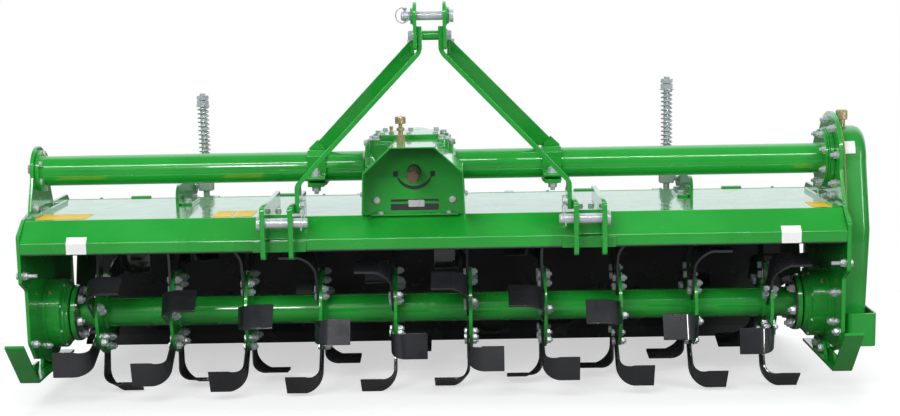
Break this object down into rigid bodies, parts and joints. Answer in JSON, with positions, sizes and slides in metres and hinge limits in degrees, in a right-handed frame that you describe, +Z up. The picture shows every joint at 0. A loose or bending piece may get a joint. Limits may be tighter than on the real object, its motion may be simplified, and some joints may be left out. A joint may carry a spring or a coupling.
{
  "type": "rotary tiller",
  "caption": "Carried rotary tiller: a bladed rotor under a hood, gear case at one end, three-point mast, input shaft guard, sprung rear levelling board.",
  "frame": {"origin": "on the floor under the middle of the machine, rear board down", "axes": "+X towards the gear case end, -Y towards the tractor, +Z up"},
  "size_m": [2.4938, 1.0177, 1.1801],
  "materials": {
    "green_paint": "gloss paint",
    "black_blade": "satin black",
    "zinc": "zinc plated",
    "brass": "dull brass",
    "steel": "oiled steel"
  },
  "bodies": {
    "frame": {"board_hinge_bar": "green_paint", "breather": "brass", "filler_cap": "brass", "front_beam": "green_paint", "gear_case": "green_paint", "gear_case_guard": "green_paint", "gearbox": "green_paint", "gearbox_top_cover": "green_paint", "hitch_base_left": "green_paint", "hitch_base_right": "green_paint", "hitch_pin_left": "zinc", "hitch_pin_right": "zinc", "hitch_plate_left_inner": "green_paint", "hitch_plate_left_outer": "green_paint", "hitch_plate_right_inner": "green_paint", "hitch_plate_right_outer": "green_paint", "hood": "green_paint", "mast_brace_left": "green_paint", "mast_brace_right": "green_paint", "mast_ear_left": "green_paint", "mast_ear_right": "green_paint", "mast_spacer": "zinc", "mast_strap_left": "green_paint", "mast_strap_right": "green_paint", "pto_guard": "green_paint", "rotor_bearing_left": "green_paint", "rotor_bearing_right": "green_paint", "side_plate_left": "green_paint", "side_plate_right": "green_paint", "skid_left": "green_paint", "skid_right": "green_paint", "spring_bracket_left": "green_paint", "spring_bracket_right": "green_paint", "top_link_pin": "zinc", "torque_tube_left": "green_paint", "torque_tube_right": "green_paint", "tube_clamp_left": "green_paint", "tube_clamp_right": "green_paint"},
    "rotor": {"blade_disc_01": "black_blade", "blade_disc_02": "black_blade", "blade_disc_03": "black_blade", "blade_disc_04": "black_blade", "blade_disc_05": "black_blade", "blade_disc_06": "black_blade", "blade_disc_07": "black_blade", "blade_disc_08": "black_blade", "blade_disc_09": "black_blade", "blade_disc_10": "black_blade", "rotor_tube": "green_paint"},
    "pto": {"pto_shaft": "steel"},
    "rear_board": {"rear_board": "green_paint"},
    "swivel_left": {"spring_left": "zinc", "spring_swivel_left": "zinc"},
    "swivel_right": {"spring_right": "zinc", "spring_swivel_right": "zinc"},
    "rod_left": {"spring_rod_left": "zinc"},
    "rod_right": {"spring_rod_right": "zinc"}
  },
  "joints": [
    {"name": "rotor_spin", "type": "hinge", "parent": "frame", "child": "rotor", "pos_m": [0, -0.1385, 0.25616], "axis": [1, 0, 0], "continuous": true},
    {"name": "pto_spin", "type": "hinge", "parent": "frame", "child": "pto", "pos_m": [-0.0839, -0.1385, 0.7], "axis": [0, 1, 0], "continuous": true},
    {"name": "rear_board_hinge", "type": "hinge", "parent": "frame", "child": "rear_board", "pos_m": [0, 0.1095, 0.562], "axis": [1, 0, 0], "range_deg": [0, 28]},
    {"name": "swivel_left_tilt", "type": "hinge", "parent": "frame", "child": "swivel_left", "pos_m": [-0.7824, 0.1965, 0.6], "axis": [1, 0, 0], "range_deg": [0, 20.08]},
    {"name": "rod_left_slide", "type": "slide", "parent": "swivel_left", "child": "rod_left", "axis": [0, 0, 1], "range_m": [0, 0.04507]},
    {"name": "swivel_right_tilt", "type": "hinge", "parent": "frame", "child": "swivel_right", "pos_m": [0.7116, 0.1965, 0.6], "axis": [1, 0, 0], "range_deg": [0, 20.08]},
    {"name": "rod_right_slide", "type": "slide", "parent": "swivel_right", "child": "rod_right", "axis": [0, 0, 1], "range_m": [0, 0.04507]}
  ],
  "couplings": [
    {"joint": "pto_spin", "follows": "rotor_spin", "ratio": -2.45},
    {"joint": "swivel_left_tilt", "follows": "rear_board_hinge", "ratio": 0.71},
    {"joint": "rod_left_slide", "follows": "rear_board_hinge", "m_per_rad": 0.0912},
    {"joint": "swivel_right_tilt", "follows": "rear_board_hinge", "ratio": 0.71},
    {"joint": "rod_right_slide", "follows": "rear_board_hinge", "m_per_rad": 0.0912}
  ]
}
